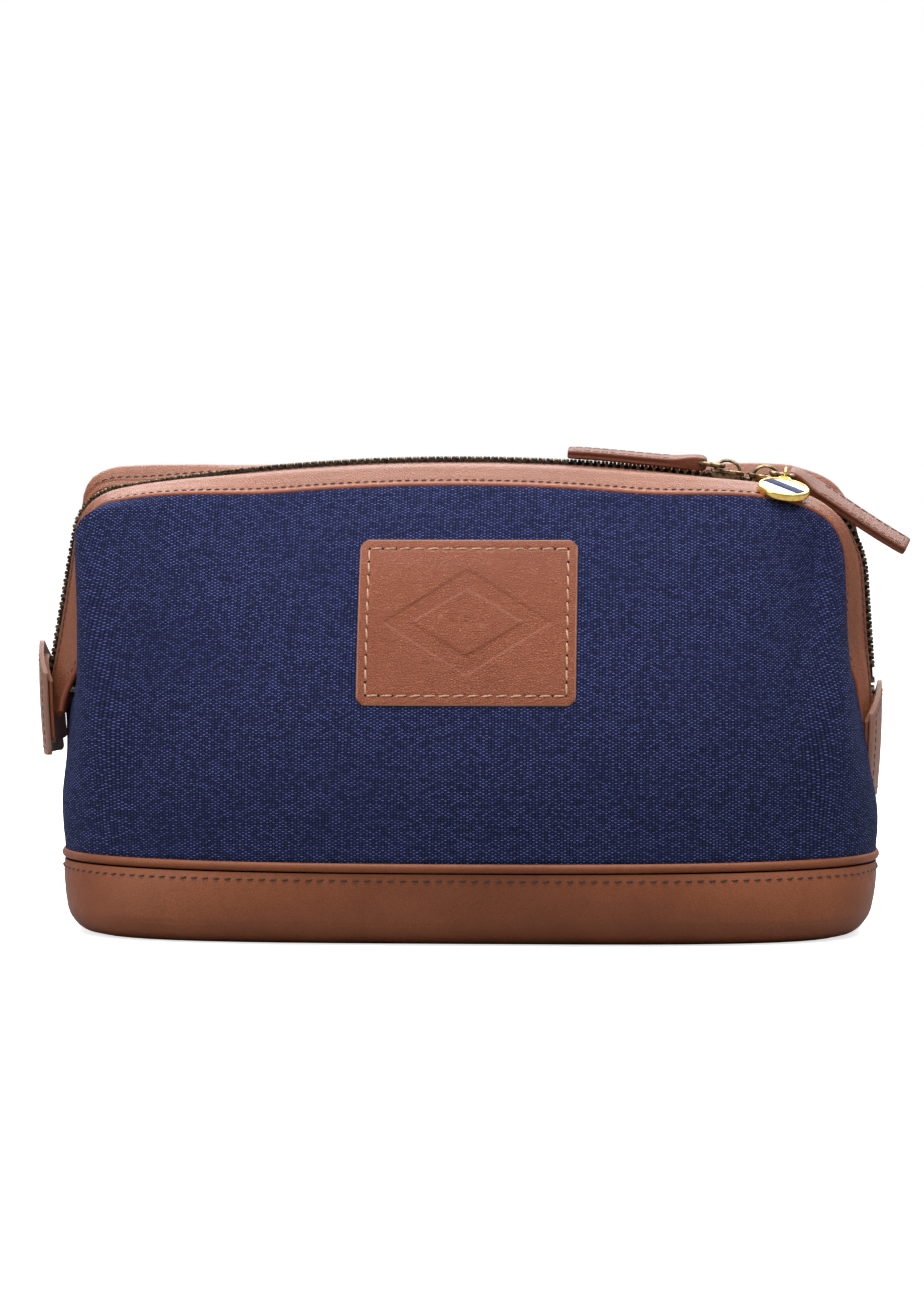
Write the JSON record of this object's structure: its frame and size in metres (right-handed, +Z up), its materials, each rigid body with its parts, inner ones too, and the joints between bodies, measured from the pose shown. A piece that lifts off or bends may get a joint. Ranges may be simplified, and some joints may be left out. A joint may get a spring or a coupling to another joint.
{
  "type": "shaving kit bag",
  "caption": "Framed wash bag with a leather base, canvas walls, a domed zip mouth with two sliders, leather pulls, end tabs and a hanging charm.",
  "frame": {"origin": "centre of the flat underside, on the surface the bag stands on", "axes": "+X to the bag's right along its length, -Y towards the front wall with the patch, +Z up"},
  "size_m": [0.2783, 0.13, 0.1516],
  "materials": {
    "tan_leather": "smooth vegetable-tanned leather, satin, hand-burnished edges",
    "navy_canvas": "plain-weave cotton canvas, matt",
    "lining_cloth": "plain cotton lining",
    "stiffener_board": "grey board, sealed inside",
    "zip_tape": "herringbone polyester tape",
    "antique_brass": "antiqued, worn bright on the edges",
    "spring_steel": "drawn wire",
    "polished_gold": "polished gold plating",
    "white_enamel": "hard glossy enamel"
  },
  "bodies": {
    "root": {"base_panel": "tan_leather", "base_board": "stiffener_board", "base_band": "tan_leather", "base_piping": "tan_leather", "lining_tray": "lining_cloth", "canvas_end_left": "navy_canvas", "canvas_end_right": "navy_canvas", "lining_end_left": "lining_cloth", "lining_end_right": "lining_cloth", "end_tab_left": "tan_leather", "end_tab_right": "tan_leather", "pivot_pin_left": "spring_steel", "pivot_pin_right": "spring_steel", "zip_stop_left": "antique_brass", "zip_stop_right": "antique_brass"},
    "front_wall": {"canvas_front": "navy_canvas", "lining_front": "lining_cloth", "leather_patch": "tan_leather"},
    "back_wall": {"canvas_back": "navy_canvas", "lining_back": "lining_cloth"},
    "front_frame": {"top_strip_front": "tan_leather", "mouth_piping_front": "tan_leather", "zip_tape_front": "zip_tape", "zip_coil_front": "antique_brass", "frame_wire_front": "spring_steel"},
    "back_frame": {"top_strip_back": "tan_leather", "mouth_piping_back": "tan_leather", "zip_tape_back": "zip_tape", "zip_coil_back": "antique_brass", "frame_wire_back": "spring_steel"},
    "slider_left": {"slider_left": "antique_brass"},
    "ring_left": {"pull_ring_left": "antique_brass"},
    "pull_left": {"leather_pull_left": "tan_leather"},
    "slider_right": {"slider_right": "antique_brass"},
    "ring_right": {"pull_ring_right": "antique_brass"},
    "pull_right": {"leather_pull_right": "tan_leather"},
    "charm_ring": {"charm_jump_ring": "polished_gold"},
    "charm": {"charm_medallion": "polished_gold", "charm_enamel": "white_enamel"}
  },
  "joints": [
    {"name": "front_frame_open", "type": "hinge", "parent": "root", "child": "front_frame", "pos_m": [-0.0035, 0, 0.076], "axis": [1, 0, 0], "range_deg": [0, 40], "deforming": ["canvas_front", "canvas_end_left", "canvas_end_right", "lining_front", "lining_end_left", "lining_end_right", "zip_tape_front", "zip_coil_front"]},
    {"name": "back_frame_open", "type": "hinge", "parent": "root", "child": "back_frame", "pos_m": [-0.0035, 0, 0.076], "axis": [-1, 0, 0], "range_deg": [0, 40], "deforming": ["canvas_back", "lining_back", "zip_tape_back", "zip_coil_back"]},
    {"name": "front_wall_lean", "type": "hinge", "parent": "root", "child": "front_wall", "pos_m": [0, -0.063, 0.0264], "axis": [1, 0, 0], "range_deg": [0, 16]},
    {"name": "back_wall_lean", "type": "hinge", "parent": "root", "child": "back_wall", "pos_m": [0, 0.063, 0.0264], "axis": [-1, 0, 0], "range_deg": [0, 16]},
    {"name": "slider_left_travel", "type": "hinge", "parent": "front_frame", "child": "slider_left", "pos_m": [-0.0035, 0, -0.5016], "axis": [0, -1, 0], "range_deg": [0, 16.2]},
    {"name": "slider_right_travel", "type": "hinge", "parent": "front_frame", "child": "slider_right", "pos_m": [0.09135, 0, 0.10671], "axis": [0, 1, 0], "range_deg": [0, 70]},
    {"name": "ring_left_lift", "type": "hinge", "parent": "slider_left", "child": "ring_left", "pos_m": [0.0803, 0, 0.14676], "axis": [0, 1, 0], "range_deg": [0, 110]},
    {"name": "pull_left_swing", "type": "hinge", "parent": "ring_left", "child": "pull_left", "pos_m": [0.07297, 0, 0.14772], "axis": [0, 1, 0], "range_deg": [0, 60]},
    {"name": "ring_right_lift", "type": "hinge", "parent": "slider_right", "child": "ring_right", "pos_m": [0.09554, 0, 0.14461], "axis": [0, -1, 0], "range_deg": [0, 92]},
    {"name": "pull_right_follow", "type": "hinge", "parent": "ring_right", "child": "pull_right", "pos_m": [0.10286, 0, 0.1435], "axis": [0, -1, 0], "range_deg": [0, 24]},
    {"name": "charm_ring_swing", "type": "hinge", "parent": "ring_right", "child": "charm_ring", "pos_m": [0.09979, -0.0038, 0.14396], "axis": [-0.9888, 0, 0.1492], "range_deg": [0, 46]},
    {"name": "charm_swing", "type": "hinge", "parent": "charm_ring", "child": "charm", "pos_m": [0.09968, -0.0058, 0.14317], "axis": [-0.9888, 0, 0.1492], "range_deg": [0, 50]}
  ],
  "couplings": [
    {"joint": "front_wall_lean", "follows": "front_frame_open", "ratio": 0.4},
    {"joint": "back_wall_lean", "follows": "back_frame_open", "ratio": 0.4},
    {"joint": "pull_right_follow", "follows": "slider_right_travel", "ratio": 0.34},
    {"joint": "charm_ring_swing", "follows": "ring_right_lift", "ratio": 0.5}
  ]
}
